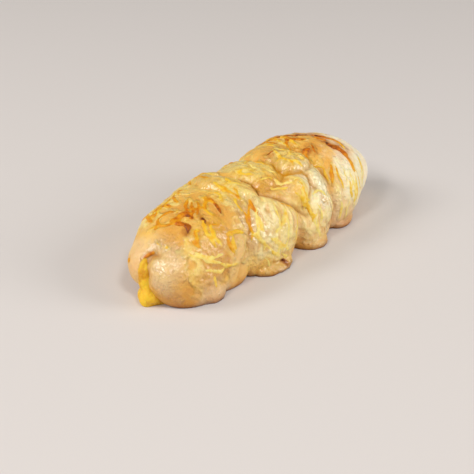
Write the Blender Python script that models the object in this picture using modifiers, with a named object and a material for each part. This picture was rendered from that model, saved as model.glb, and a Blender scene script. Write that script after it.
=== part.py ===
"""A plaited cheese bread: one baked roll of plaited dough with grated cheese melted on its crust,
and the pool of cheese that ran out of the fold at its near end.

Metres, +Z up. The roll lies along X on z = 0, with its near end at -X, and the origin is under the
middle of its box. A place on the crust is (x, angle): the distance along the roll, and the angle
round it from the top in degrees, positive towards -Y, which is the front.
"""

import math
from collections import namedtuple

import bmesh
import bpy
import numpy as np
from mathutils import Vector, noise

# The plain loaf under the plait
REACH = 0.0880
WIDTH_SHOULDERS, WIDTH_ROUNDNESS = (-0.038, 0.030), (0.52, 0.46)
BACK_SHOULDERS = (-0.024, 0.030)
HEIGHT_SHOULDERS, HEIGHT_ROUNDNESS = (-0.020, 0.042), (0.58, 0.54)
BELLY_SHOULDERS = (-0.040, 0.020)
FRONT_WIDTH, BACK_WIDTH = 0.0300, 0.0272
SPINE_HEIGHT = 0.0160
NEAR_BEND, FAR_BEND = -0.0080, -0.0010
CROWN, BELLY = 0.0215, 0.0240
TOP_SQUARENESS, BOTTOM_SQUARENESS, FAR_SQUARENESS = 2.2, 3.2, 2.3
FAR_UNDERSIDE = (0.034, 0.066)
SKIRT_SPREAD, SKIRT_HEIGHT = 0.0012, 0.010

# The plait's lobes: place, half-lengths along and across, turn, rise of the edge and swell
Lobe = namedtuple("Lobe", "name x angle along across turn rise swell")
LOBES = [
    Lobe("near_top", -0.0590, 20, 0.0390, 0.0350, 0, 0.0000, 0.0058),
    Lobe("near_low", -0.0850, -90, 0.0140, 0.0150, 0, 0.0000, 0.0046),
    Lobe("near_tuck", -0.0755, 107, 0.0215, 0.0155, 42, 0.0016, 0.0072),
    Lobe("near_nub", -0.0630, 120, 0.0095, 0.0090, 0, 0.0016, 0.0064),
    Lobe("near_side", -0.050, 86, 0.0170, 0.0250, 0, 0.0000, 0.0046),
    Lobe("second_top", -0.023, -14, 0.0135, 0.0340, 4, 0.0002, 0.0054),
    Lobe("second_side", -0.0165, 84, 0.0230, 0.0280, 12, 0.0008, 0.0068),
    Lobe("third_top", -0.002, 4, 0.0145, 0.0240, 2, 0.0004, 0.0052),
    Lobe("third_inner", 0.012, 62, 0.0115, 0.0170, -20, 0.0000, 0.0056),
    Lobe("third_side", 0.0185, 94, 0.0160, 0.0250, 0, 0.0002, 0.0060),
    Lobe("fourth_top", 0.0225, 0, 0.0150, 0.0380, 6, 0.0004, 0.0064),
    Lobe("fourth_side", 0.049, 80, 0.0200, 0.0260, 0, 0.0000, 0.0052),
    Lobe("far_top", 0.0555, 10, 0.0255, 0.0390, 0, 0.0004, 0.0060),
    Lobe("far_cap", 0.082, 72, 0.0200, 0.0230, 0, 0.0000, 0.0036),
    Lobe("near_back", -0.048, -96, 0.0240, 0.0230, 10, 0.0000, 0.0026),
    Lobe("second_back", -0.028, -92, 0.0180, 0.0270, 12, 0.0002, 0.0056),
    Lobe("third_back", 0.002, -96, 0.0180, 0.0230, 12, 0.0002, 0.0044),
    Lobe("fourth_back", 0.045, -56, 0.0250, 0.0280, 12, 0.0006, 0.0072),
    Lobe("far_back", 0.0600, -64, 0.0240, 0.0270, 8, 0.0002, 0.0056),
]
LOBE_ROUNDNESS = 0.55
JOIN_SOFTNESS = 0.0007

# Creases pressed deeper than where the lobes meet: places along each, with depth and width
Crease = namedtuple("Crease", "depth width places")
CREASES = [
    Crease(0.0028, 0.0020, [(-0.0200, -24), (-0.0130, 6), (-0.0108, 25), (-0.0120, 36), (-0.0160, 46)]),
    Crease(0.0026, 0.0020, [(-0.0160, 46), (-0.0080, 56), (0.0028, 72), (0.0100, 84)]),
    Crease(0.0018, 0.0018, [(0.0100, -34), (0.0118, -4), (0.0118, 17), (0.0095, 37)]),
    Crease(0.0018, 0.0018, [(0.0080, 40), (-0.0040, 45), (-0.0160, 46)]),
    Crease(0.0014, 0.0016, [(0.0095, 37), (0.0149, 45), (0.0182, 54), (0.0211, 66)]),
    Crease(0.0018, 0.0018, [(0.0032, 49), (0.0038, 64), (0.0110, 84)]),
    Crease(0.0018, 0.0022, [(0.0370, 0), (0.0319, 37), (0.0350, 46), (0.0338, 72), (0.0335, 104)]),
    Crease(0.0018, 0.0022, [(-0.0230, 40), (-0.0298, 58), (-0.0358, 74), (-0.0440, 96), (-0.0469, 110)]),
    Crease(0.0010, 0.0020, [(-0.0358, 74), (-0.0410, 67), (-0.0519, 72), (-0.0560, 96)]),
    Crease(0.0016, 0.0022, [(-0.0300, -40), (-0.0339, -16), (-0.0300, 14)]),
    Crease(0.0024, 0.0018, [(-0.0874, 90), (-0.0870, 30), (-0.0830, 26), (-0.0812, 44)]),
    Crease(0.0005, 0.0026, [(-0.0812, 44), (-0.0780, 70), (-0.0720, 84), (-0.0660, 100), (-0.0600, 112)]),
    Crease(0.0012, 0.0020, [(0.0020, 84), (0.0050, 97), (0.0060, 115)]),
]
CREASE_SHARPNESS = 1.3

# Shreds of cheese baked onto the crust: places along the middle of each
SHRED_HALF_WIDTH, SHRED_HEIGHT = 0.0014, 0.0011
SHREDS = [
    [(-0.0737, -32), (-0.0700, -12), (-0.0666, 7)],
    [(-0.0666, 7), (-0.0632, 26), (-0.0660, 42)],
    [(-0.0700, -12), (-0.0658, -20), (-0.0582, -1)],
    [(-0.0640, -30), (-0.0572, -39), (-0.0522, -31)],
    [(-0.0502, -33), (-0.0380, -52), (-0.0287, -47)],
    [(-0.0658, 8), (-0.0610, 19), (-0.0581, 29)],
    [(-0.0458, -14), (-0.0507, 3), (-0.0561, 17)],
    [(-0.0470, 5), (-0.0519, 18), (-0.0562, 26)],
    [(-0.0529, 39), (-0.0569, 50), (-0.0580, 68)],
    [(-0.0427, 18), (-0.0420, 29), (-0.0428, 43)],
    [(-0.0539, 47), (-0.0483, 53)],
    [(-0.0669, 48), (-0.0670, 56), (-0.0659, 63)],
    [(-0.0591, 46), (-0.0615, 54), (-0.0622, 62)],
    [(-0.0818, 26), (-0.0837, -3), (-0.0865, -21), (-0.0876, -44)],
    [(-0.0518, 71), (-0.0491, 64), (-0.0401, 65)],
    [(-0.0480, 67), (-0.0490, 74), (-0.0487, 80)],
    [(-0.0239, 43), (-0.0257, 52), (-0.0261, 61)],
    [(-0.0261, 48), (-0.0300, 57), (-0.0332, 68)],
    [(-0.0281, 6), (-0.0282, 21), (-0.0268, 34)],
    [(-0.0108, -3), (-0.0058, 0), (-0.0033, 12)],
    [(-0.0063, 31), (-0.0012, 33), (0.0019, 40)],
    [(-0.0230, 55), (-0.0282, 63), (-0.0301, 80)],
    [(-0.0218, 58), (-0.0260, 66), (-0.0269, 76)],
    [(-0.0078, 64), (-0.0082, 71), (-0.0089, 80)],
    [(0.0033, 73), (-0.0010, 82), (-0.0019, 95)],
    [(-0.0217, 83), (-0.0151, 94), (-0.0081, 105)],
    [(0.0381, -21), (0.0339, -7), (0.0283, 11)],
    [(0.0368, 9), (0.0454, 11), (0.0384, 32)],
    [(0.0550, 9), (0.0540, 25), (0.0571, 49), (0.0578, 67)],
    [(0.0373, 58), (0.0379, 64), (0.0360, 70)],
    [(0.0439, 57), (0.0429, 67), (0.0432, 77)],
    [(0.0600, 6), (0.0631, 18), (0.0607, 47)],
    [(0.0564, 65), (0.0584, 76), (0.0599, 89)],
    [(0.0071, 50), (0.0118, 51), (0.0136, 58)],
    [(0.0148, 67), (0.0221, 67), (0.0243, 81)],
    [(-0.0690, 65), (-0.0658, 72), (-0.0550, 77)],
    [(-0.0680, 81), (-0.0638, 88), (-0.0580, 93)],
]

# Dough that spread flat on the tray: distance along, half-length, how far it reaches and its height
Foot = namedtuple("Foot", "x along reach height")
FEET = [Foot(-0.0640, 0.0060, 0.0010, 0.0080), Foot(-0.0190, 0.0130, 0.0060, 0.0040),
        Foot(0.0150, 0.0100, 0.0052, 0.0042), Foot(0.0470, 0.0090, 0.0040, 0.0038)]

LUMP_SIZE, LUMP_HEIGHT = 0.014, 0.0009

# The cheese that ran out of the near fold: balls run together, as centre and half-sizes
Ball = namedtuple("Ball", "x y z along across high")
CHEESE_BALLS = [
    Ball(-0.0868, -0.0116, 0.0036, 0.0078, 0.0070, 0.0062),
    Ball(-0.0876, -0.0108, 0.0092, 0.0046, 0.0046, 0.0066),
    Ball(-0.0842, -0.0142, 0.0024, 0.0058, 0.0052, 0.0050),
    Ball(-0.0800, -0.0110, 0.0070, 0.0095, 0.0060, 0.0062),
]
CHEESE_LUMP_SIZE, CHEESE_LUMP_HEIGHT = 0.005, 0.0006
POCKET_GAP = 0.0003

LOAF_SEGMENTS, BALL_SUBDIVISIONS, PATH_STEPS = 96, 4, 6
LOAF_VOXEL, CHEESE_VOXEL = 0.0010, 0.0008
ROLL_TRIANGLES, CHEESE_TRIANGLES = 11200, 700
FLOOR_BLOCK = (0.3, 0.2, 0.05)

CRUST_COLOUR, CRUST_ROUGHNESS = (0.74, 0.42, 0.15, 1), 0.45
CHEESE_COLOUR, CHEESE_ROUGHNESS = (0.72, 0.38, 0.05, 1), 0.3


def clear_scene():
    for thing in list(bpy.data.objects):
        bpy.data.objects.remove(thing, do_unlink=True)


def end_taper(x, shoulders, roundness):
    """How much of the full section is left at x: 1 between the shoulders, 0 at both tips."""
    near = np.clip((shoulders[0] - x) / (REACH + shoulders[0]), 0, 1)
    far = np.clip((x - shoulders[1]) / (REACH - shoulders[1]), 0, 1)
    return (1 - near**2) ** roundness[0] * (1 - far**2) ** roundness[1]


def spine_bend(x):
    """How far the middle of the roll leans to one side at x."""
    return np.where(x < 0, NEAR_BEND, FAR_BEND) * (x / REACH) ** 2


def loaf_point(x, angle):
    """The point of the plain loaf's skin at x and an angle in radians."""
    side, up = np.sin(angle), np.cos(angle)
    front = FRONT_WIDTH * end_taper(x, WIDTH_SHOULDERS, WIDTH_ROUNDNESS)
    rear = BACK_WIDTH * end_taper(x, BACK_SHOULDERS, WIDTH_ROUNDNESS)
    crown = CROWN * end_taper(x, HEIGHT_SHOULDERS, HEIGHT_ROUNDNESS)
    belly = BELLY * end_taper(x, BELLY_SHOULDERS, HEIGHT_ROUNDNESS)
    depth = np.where(up > 0, crown, belly)
    under = np.interp(x, FAR_UNDERSIDE, (BOTTOM_SQUARENESS, FAR_SQUARENESS))
    power = np.where(up > 0, TOP_SQUARENESS, under)
    width, depth = np.maximum(np.where(side > 0, front, rear), 1e-6), np.maximum(depth, 1e-6)
    radius = ((np.abs(side) / width) ** power + (np.abs(up) / depth) ** power) ** (-1 / power)
    return np.stack([x, spine_bend(x) - radius * side, SPINE_HEIGHT + radius * up], axis=-1)


def skin_place(x, degrees):
    """A place on the plain loaf: its point, the directions along and round the skin, and outwards."""
    angle, small = math.radians(degrees), 1e-4
    x = min(max(x, small - REACH), REACH - small)
    along = loaf_point(x + small, angle) - loaf_point(x - small, angle)
    around = loaf_point(x, angle + 0.01) - loaf_point(x, angle - 0.01)
    along /= np.linalg.norm(along)
    outward = np.cross(around, along)
    outward /= np.linalg.norm(outward)
    return loaf_point(x, angle), along, np.cross(along, outward), outward


def offsets(points, x, degrees, turn=0):
    """Each point's distance from a place on the skin, as its parts along and round the roll."""
    centre, along, around, _ = skin_place(x, degrees)
    apart = points - centre
    a, b = apart @ along, apart @ around
    stretch = np.linalg.norm(apart, axis=1) / np.maximum(np.hypot(a, b), 1e-6)
    c, s = math.cos(math.radians(turn)), math.sin(math.radians(turn))
    return (a * c + b * s) * stretch, (b * c - a * s) * stretch


def soft_maximum(a, b, softness):
    return np.maximum(a, b) + np.maximum(softness - np.abs(a - b), 0) ** 2 / (4 * softness)


def plait_height(points):
    """How far the lobes stand off the plain loaf."""
    height = np.zeros(len(points))
    for lobe in LOBES:
        along, across = offsets(points, lobe.x, lobe.angle, lobe.turn)
        inside = np.clip(1 - (along / lobe.along) ** 2 - (across / lobe.across) ** 2, 0, 1)
        own = np.where(inside > 0, lobe.rise, 0) + lobe.swell * inside**LOBE_ROUNDNESS
        height = soft_maximum(height, own, JOIN_SOFTNESS)
    return height


def skin_path(places):
    """Points along the plain loaf's skin, close together, through the given places."""
    x, degrees = np.array(places).T
    steps = np.linspace(0, len(places) - 1, PATH_STEPS * (len(places) - 1) + 1)
    x = np.interp(steps, np.arange(len(places)), x)
    angle = np.radians(np.interp(steps, np.arange(len(places)), degrees))
    return loaf_point(np.clip(x, -REACH, REACH), angle)


def path_distance(points, path):
    """The distance from each point to the nearest stretch of a path."""
    nearest = np.full(len(points), np.inf)
    for start, end in zip(path[:-1], path[1:]):
        run = end - start
        share = np.clip((points - start) @ run / max(run @ run, 1e-12), 0, 1)
        gap = np.linalg.norm(points - start - share[:, None] * run, axis=1)
        nearest = np.minimum(nearest, gap)
    return nearest


def crease_depth(points):
    depth = np.zeros(len(points))
    for crease in CREASES:
        gap = path_distance(points, skin_path(crease.places))
        depth = np.maximum(depth, crease.depth * np.exp(-((gap / crease.width) ** CREASE_SHARPNESS)))
    return depth


def noise_at(points, size):
    """Smooth noise from -1 to 1 with features of the given size."""
    return np.array([noise.noise(Vector(p) / size) for p in points])


def spread_feet(points, middle):
    """Pushes the lowest dough outwards: a slight skirt all round, and the front's flat feet."""
    low = np.clip(1 - points[:, 2] / SKIRT_HEIGHT, 0, 1)
    side = np.sign(points[:, 1] - middle)
    reach = SKIRT_SPREAD * low * side * np.interp(points[:, 0], FAR_UNDERSIDE, (1, 0))
    for foot in FEET:
        window = np.clip(1 - ((points[:, 0] - foot.x) / foot.along) ** 2, 0, 1) ** 0.5
        level = np.clip(1 - (points[:, 2] / foot.height) ** 2, 0, 1) ** 0.5
        reach = np.where(side < 0, reach - foot.reach * window * level, reach)
    points[:, 1] += reach


def shred_ridges(points):
    """How far the baked-on shreds stand off the crust."""
    height = np.zeros(len(points))
    for places in SHREDS:
        gap = path_distance(points, skin_path(places))
        inside = np.clip(1 - (gap / SHRED_HALF_WIDTH) ** 2, 0, 1)
        height = np.maximum(height, SHRED_HEIGHT * np.sqrt(inside))
    return height


def remeshed(bm, name, voxel):
    """The shape as an even mesh."""
    mesh = bpy.data.meshes.new(name)
    bm.to_mesh(mesh)
    bm.free()
    rough = bpy.data.objects.new(name, mesh)
    bpy.context.collection.objects.link(rough)
    even = rough.modifiers.new("even", "REMESH")
    even.mode = "VOXEL"
    even.voxel_size = voxel
    graph = bpy.context.evaluated_depsgraph_get()
    mesh = bpy.data.meshes.new_from_object(rough.evaluated_get(graph))
    bpy.data.objects.remove(rough)
    return mesh


def plain_loaf():
    """The loaf without its plait."""
    bm = bmesh.new()
    bmesh.ops.create_uvsphere(bm, u_segments=LOAF_SEGMENTS, v_segments=LOAF_SEGMENTS, radius=1)
    for vertex in bm.verts:
        pole, side, up = vertex.co.z, vertex.co.x, vertex.co.y
        vertex.co = Vector(loaf_point(np.float64(REACH * pole), np.float64(math.atan2(side, up))))
    bmesh.ops.recalc_face_normals(bm, faces=bm.faces)
    return remeshed(bm, "plain_loaf", LOAF_VOXEL)


def vertex_points(mesh):
    values = np.empty(len(mesh.vertices) * 3, np.float32)
    mesh.vertices.foreach_get("co", values)
    return values.reshape(-1, 3).astype(np.float64)


def vertex_normals(mesh):
    values = np.empty(len(mesh.vertices) * 3, np.float32)
    mesh.vertex_normals.foreach_get("vector", values)
    return values.reshape(-1, 3).astype(np.float64)


def set_points(mesh, points):
    mesh.vertices.foreach_set("co", points.astype(np.float32).ravel())
    mesh.update()


def roll_mesh():
    """The plaited roll, still running below the floor."""
    mesh = plain_loaf()
    plain = vertex_points(mesh)
    height = plait_height(plain) - crease_depth(plain) + shred_ridges(plain)
    height += noise_at(plain, LUMP_SIZE) * LUMP_HEIGHT
    points = plain + vertex_normals(mesh) * height[:, None]
    spread_feet(points, spine_bend(plain[:, 0]))
    set_points(mesh, points)
    return mesh


def cheese_mesh(grown):
    """The melted cheese, or the same shape grown on all sides."""
    bm = bmesh.new()
    for ball in CHEESE_BALLS:
        made = bmesh.ops.create_icosphere(bm, subdivisions=BALL_SUBDIVISIONS, radius=1)
        for vertex in made["verts"]:
            x, y, z = vertex.co
            vertex.co = Vector((ball.x + x * ball.along, ball.y + y * ball.across, ball.z + z * ball.high))
    mesh = remeshed(bm, "cheese", CHEESE_VOXEL)
    points = vertex_points(mesh)
    uneven = noise_at(points, CHEESE_LUMP_SIZE) * CHEESE_LUMP_HEIGHT
    set_points(mesh, points + vertex_normals(mesh) * (uneven + grown)[:, None])
    return mesh


def add_object(name, mesh, collection):
    thing = bpy.data.objects.new(name, mesh)
    collection.objects.link(thing)
    mesh.name = name
    return thing


def paint(thing, colour, roughness):
    material = bpy.data.materials.new(thing.name)
    material.use_nodes = True
    shader = material.node_tree.nodes["Principled BSDF"]
    shader.inputs["Base Color"].default_value = colour
    shader.inputs["Roughness"].default_value = roughness
    thing.data.materials.clear()
    thing.data.materials.append(material)
    thing.data.shade_smooth()


def thin_out(thing, triangles):
    bm = bmesh.new()
    bm.from_mesh(thing.data)
    now = 2 * len(bm.faces)
    bm.free()
    fewer = thing.modifiers.new("fewer_faces", "DECIMATE")
    fewer.ratio = min(1, triangles / now)
    fewer.use_collapse_triangulate = True


def cut(thing, cutter):
    boolean = thing.modifiers.new("cut_" + cutter.name, "BOOLEAN")
    boolean.operation = "DIFFERENCE"
    boolean.solver = "EXACT"
    boolean.object = cutter


def floor_cutter(collection):
    """A block whose top is the floor."""
    bm = bmesh.new()
    bmesh.ops.create_cube(bm, size=1)
    bmesh.ops.scale(bm, vec=FLOOR_BLOCK, verts=bm.verts)
    bmesh.ops.translate(bm, vec=(0, 0, -FLOOR_BLOCK[2] / 2), verts=bm.verts)
    mesh = bpy.data.meshes.new("floor_cutter")
    bm.to_mesh(mesh)
    bm.free()
    return add_object("floor_cutter", mesh, collection)


def add_collection(name, hidden):
    collection = bpy.data.collections.new(name)
    bpy.context.scene.collection.children.link(collection)
    collection.hide_render = hidden
    return collection


def main():
    clear_scene()
    bread = add_collection("plaited_cheese_bread", False)
    cutters = add_collection("cutters", True)
    meshes = [roll_mesh(), cheese_mesh(0), cheese_mesh(POCKET_GAP)]
    corners = np.concatenate([vertex_points(mesh) for mesh in meshes[:2]])
    corners = corners[corners[:, 2] >= 0]
    middle = (corners.min(axis=0) + corners.max(axis=0)) / 2 * (1, 1, 0)
    for mesh in meshes:
        set_points(mesh, vertex_points(mesh) - middle)
    roll = add_object("roll", meshes[0], bread)
    cheese = add_object("melted_cheese", meshes[1], bread)
    pocket = add_object("pocket_cutter", meshes[2], cutters)
    floor = floor_cutter(cutters)
    thin_out(roll, ROLL_TRIANGLES)
    thin_out(cheese, CHEESE_TRIANGLES)
    thin_out(pocket, CHEESE_TRIANGLES)
    cut(roll, floor)
    cut(roll, pocket)
    cut(cheese, floor)
    for cutter in (pocket, floor):
        cutter.hide_render = True
        cutter.display_type = "WIRE"
    paint(roll, CRUST_COLOUR, CRUST_ROUGHNESS)
    paint(cheese, CHEESE_COLOUR, CHEESE_ROUGHNESS)


main()
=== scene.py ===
"""The looks of the plaited cheese bread: its crust, the melted cheese film, the baked shreds and the pool
of cheese at the near fold, with the floor, the lights and the camera.

Metres, +Z up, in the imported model's frame; the rows given to table() are in millimetres. A place on
the crust is (x, angle): the distance along the plain loaf, and the angle round it from the top in
degrees, positive towards -Y, which is the front.
The form of the roll comes from the same named values as the part's own source.
"""

import math
import random
from collections import namedtuple

import bmesh
import bpy
import numpy as np
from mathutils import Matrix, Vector, noise
from mathutils.bvhtree import BVHTree
from mathutils.kdtree import KDTree


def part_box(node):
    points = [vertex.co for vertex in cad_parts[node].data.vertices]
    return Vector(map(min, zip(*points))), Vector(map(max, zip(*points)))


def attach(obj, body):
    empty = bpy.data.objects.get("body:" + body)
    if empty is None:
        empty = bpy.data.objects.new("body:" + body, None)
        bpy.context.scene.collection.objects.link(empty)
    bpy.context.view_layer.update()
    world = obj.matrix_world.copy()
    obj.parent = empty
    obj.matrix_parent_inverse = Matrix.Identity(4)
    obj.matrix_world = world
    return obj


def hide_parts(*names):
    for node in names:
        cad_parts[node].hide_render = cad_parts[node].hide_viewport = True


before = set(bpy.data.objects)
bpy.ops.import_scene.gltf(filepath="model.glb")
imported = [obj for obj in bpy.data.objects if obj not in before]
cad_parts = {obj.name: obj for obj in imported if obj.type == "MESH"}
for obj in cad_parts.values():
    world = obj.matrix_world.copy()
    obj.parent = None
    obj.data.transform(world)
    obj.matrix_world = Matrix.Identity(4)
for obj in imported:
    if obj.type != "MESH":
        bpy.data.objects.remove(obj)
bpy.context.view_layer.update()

# The fields that the tables below give in millimetres
LENGTHS = set("x y z along across high rise swell depth width reach height".split())
MILLIMETRE = 0.001


def in_metres(name, value):
    """A field's value, with its lengths turned from millimetres into metres."""
    if name in LENGTHS:
        return value * MILLIMETRE
    if name == "lengths":
        return [length * MILLIMETRE for length in value]
    if name == "places":
        return [(x * MILLIMETRE, angle) for x, angle in value]
    return value


def table(kind, rows):
    """Rows of one kind, in metres."""
    return [kind(*(in_metres(name, value) for name, value in zip(kind._fields, row))) for row in rows]


# The plain loaf under the plait
REACH = 0.0880
WIDTH_SHOULDERS, WIDTH_ROUNDNESS = (-0.038, 0.030), (0.52, 0.46)
BACK_SHOULDERS = (-0.024, 0.030)
HEIGHT_SHOULDERS, HEIGHT_ROUNDNESS = (-0.020, 0.042), (0.58, 0.54)
BELLY_SHOULDERS = (-0.040, 0.020)
FRONT_WIDTH, BACK_WIDTH = 0.0300, 0.0272
SPINE_HEIGHT = 0.0160
NEAR_BEND, FAR_BEND = -0.0080, -0.0010
CROWN, BELLY = 0.0215, 0.0240
TOP_SQUARENESS, BOTTOM_SQUARENESS, FAR_SQUARENESS = 2.2, 3.2, 2.3
FAR_UNDERSIDE = (0.034, 0.066)
SKIRT_SPREAD, SKIRT_HEIGHT = 0.0012, 0.010

# The plait's lobes: place, half-lengths along and across, turn, rise of the edge and swell
Lobe = namedtuple("Lobe", "name x angle along across turn rise swell")
LOBES = table(Lobe, [
    ("near_top", -59, 20, 39, 35, 0, 0, 5.8),
    ("near_low", -85, -90, 14, 15, 0, 0, 4.6),
    ("near_tuck", -75.5, 107, 21.5, 15.5, 42, 1.6, 7.2),
    ("near_nub", -63, 120, 9.5, 9, 0, 1.6, 6.4),
    ("near_side", -50, 86, 17, 25, 0, 0, 4.6),
    ("second_top", -23, -14, 13.5, 34, 4, 0.2, 5.4),
    ("second_side", -16.5, 84, 23, 28, 12, 0.8, 6.8),
    ("third_top", -2, 4, 14.5, 24, 2, 0.4, 5.2),
    ("third_inner", 12, 62, 11.5, 17, -20, 0, 5.6),
    ("third_side", 18.5, 94, 16, 25, 0, 0.2, 6),
    ("fourth_top", 22.5, 0, 15, 38, 6, 0.4, 6.4),
    ("fourth_side", 49, 80, 20, 26, 0, 0, 5.2),
    ("far_top", 55.5, 10, 25.5, 39, 0, 0.4, 6),
    ("far_cap", 82, 72, 20, 23, 0, 0, 3.6),
    ("near_back", -48, -96, 24, 23, 10, 0, 2.6),
    ("second_back", -28, -92, 18, 27, 12, 0.2, 5.6),
    ("third_back", 2, -96, 18, 23, 12, 0.2, 4.4),
    ("fourth_back", 45, -56, 25, 28, 12, 0.6, 7.2),
    ("far_back", 60, -64, 24, 27, 8, 0.2, 5.6),
])
LOBE_ROUNDNESS = 0.55
JOIN_SOFTNESS = 0.0007

# Creases pressed deeper than where the lobes meet: places along each, with depth and width
Crease = namedtuple("Crease", "depth width places")
CREASES = table(Crease, [
    (2.8, 2, [(-20, -24), (-13, 6), (-10.8, 25), (-12, 36), (-16, 46)]),
    (2.6, 2, [(-16, 46), (-8, 56), (2.8, 72), (10, 84)]),
    (1.8, 1.8, [(10, -34), (11.8, -4), (11.8, 17), (9.5, 37)]),
    (1.8, 1.8, [(8, 40), (-4, 45), (-16, 46)]),
    (1.4, 1.6, [(9.5, 37), (14.9, 45), (18.2, 54), (21.1, 66)]),
    (1.8, 1.8, [(3.2, 49), (3.8, 64), (11, 84)]),
    (1.8, 2.2, [(37, 0), (31.9, 37), (35, 46), (33.8, 72), (33.5, 104)]),
    (1.8, 2.2, [(-23, 40), (-29.8, 58), (-35.8, 74), (-44, 96), (-46.9, 110)]),
    (1, 2, [(-35.8, 74), (-41, 67), (-51.9, 72), (-56, 96)]),
    (1.6, 2.2, [(-30, -40), (-33.9, -16), (-30, 14)]),
    (2.4, 1.8, [(-87.4, 90), (-87, 30), (-83, 26), (-81.2, 44)]),
    (0.5, 2.6, [(-81.2, 44), (-78, 70), (-72, 84), (-66, 100), (-60, 112)]),
    (1.2, 2, [(2, 84), (5, 97), (6, 115)]),
])
# Valleys between the mounds of cheese, which only these looks show
VALLEYS = table(Crease, [
    (2.2, 1.8, [(12.4, 12), (10.2, 27), (10.8, 35), (14.9, 42), (19.8, 45), (21.2, 50)]),
    (2, 1.7, [(21.2, 50), (20.2, 54), (18.9, 60), (13.3, 67), (10.1, 75)]),
    (1.7, 1.6, [(19.8, 45), (24.9, 44), (27.6, 43), (32, 36)]),
    (1.4, 1.4, [(12.4, 12), (16, 10), (22.8, 9), (29, 12), (34.5, 18)]),
    (1.4, 1.4, [(-2.8, 46), (3.9, 46), (10, 36)]),
    (1.3, 1.4, [(-9.8, 62), (-10.5, 70), (-14, 77), (-20, 80)]),
    (1.2, 1.4, [(-33, 60), (-35.2, 72), (-32, 80), (-29.1, 88)]),
])
# How sharp the creases are, and the crease and valley depths at which their painted shade is darkest; the
# clefts' painted shadow keeps to the deepest part
CREASE_SHARPNESS, CREASE_DARKEST, VALLEY_DARKEST = 1.3, 0.0028, 0.0020
CLEFT_SHADOW_SHARPNESS = 5
LUMP_SIZE, LUMP_HEIGHT = 0.014, 0.0009

# Cheese melted into mounds over the lobes, which only these looks show
MOUNDS = table(Lobe, [
    ("third_cap", 0, 26, 12.5, 12, 0, 0, 1),
    ("fourth_cap", 20, 31, 9, 7.6, 8, 0, 2.8),
    ("fourth_shoulder", 29, 32, 6.2, 7, 8, 0, 2.6),
    ("third_inner_cap", 10, 57, 10.5, 8.8, -14, 0, 3.2),
    ("fourth_edge", 26.8, 57, 7.8, 8, 0, 0, 3.2),
    ("fourth_skirt", 25.5, 84, 9, 10, 0, 0, 1.2),
    ("second_edge", -5, 74, 7.5, 11, 14, 0, 1.2),
    ("near_side_cap", -62, 72, 11, 10, 20, 0, 1),
])
MOUND_SOFTNESS = 0.0004
PATH_STEPS = 6

# Dough that spread flat on the tray: distance along, half-length, how far it reaches and its height
Foot = namedtuple("Foot", "x along reach height")
FEET = table(Foot, [
    (-64, 6, 1, 8),
    (-19, 13, 6, 4),
    (15, 10, 5.2, 4.2),
    (47, 9, 4, 3.8),
])

# The cheese that ran out of the near fold: balls run together, as centre and half-sizes
Ball = namedtuple("Ball", "x y z along across high")
CHEESE_BALLS = table(Ball, [
    (-86.8, -11.6, 3.6, 7.8, 7, 6.2),
    (-87.6, -10.8, 9.2, 4.6, 4.6, 6.6),
    (-84.2, -14.2, 2.4, 5.8, 5.2, 5),
    (-80, -11, 7, 9.5, 6, 6.2),
])
# More of that cheese, which stays in the fold above the pool
FOLD_BALLS = table(Ball, [
    (-87.2, -7.8, 22.2, 1.6, 1.6, 1.8),
    (-88.6, -7.9, 19.8, 1.9, 1.9, 2.8),
    (-89.7, -7.9, 17, 2.2, 2.2, 3.2),
    (-89.8, -8.7, 14.4, 2.6, 2.6, 3.2),
    (-87.7, -9.6, 17.4, 2.4, 2.4, 4.4),
    (-88, -10.4, 15.8, 2.7, 2.7, 3.8),
    (-89, -10.1, 11.8, 3.4, 3.4, 3.6),
])
CHEESE_LUMP_SIZE, CHEESE_LUMP = 0.004, 0.0009

# How finely the shapes are meshed, and how often each mesh is smoothed
SPHERE_SEGMENTS, BALL_SUBDIVISIONS = 160, 5
LOAF_VOXEL, CHEESE_VOXEL, SHRED_VOXEL = 0.00064, 0.0005, 0.0004
LOAF_SMOOTHING, CHEESE_SMOOTHING, SHRED_SMOOTHING = 6, 6, 4

# Where the melted cheese film lies on the crust: place, half-lengths, turn and how much
Patch = namedtuple("Patch", "x angle along across turn amount")
FILM = table(Patch, [
    (-62, 80, 13, 17, 20, 0.95),
    (-56, 58, 10, 13, 0, 0.7),
    (-20, 78, 22, 23, 12, 0.85),
    (-27, 2, 12, 26, 4, 0.9),
    (-1.5, 16, 14, 21, 2, 0.95),
    (8, 60, 11, 15, -20, 0.9),
    (22.5, 34, 14, 11.5, 6, 0.95),
    (26.5, 60, 8.5, 13, 0, 0.9),
    (18, 92, 15, 20, 0, 0.62),
    (44, 74, 12, 12, 0, 0.42),
    (56, 84, 10, 13, 0, 0.38),
    (-54, -46, 20, 9, 0, 0.7),
    (-40, -58, 20, 15, 0, 0.7),
    (-5, -60, 18, 20, 0, 0.8),
    (40, -62, 20, 18, 0, 0.6),
])
# Where that film is a deeper yellow
RICH = table(Patch, [
    (-4, 40, 13, 6, 0, 1),
    (-28, -22, 8, 8, 0, 0.5),
    (-61, 88, 11, 13, 20, 1),
    (-54, 60, 9, 10, 0, 0.95),
    (19, 36, 10, 8, 0, 0.4),
    (3, 56, 6, 6, 0, 0.4),
    (-33, 62, 3.5, 15, 20, 0.8),
    (33, 60, 3, 16, 0, 0.6),
    (-86, 10, 7, 16, 0, 1),
])
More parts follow.
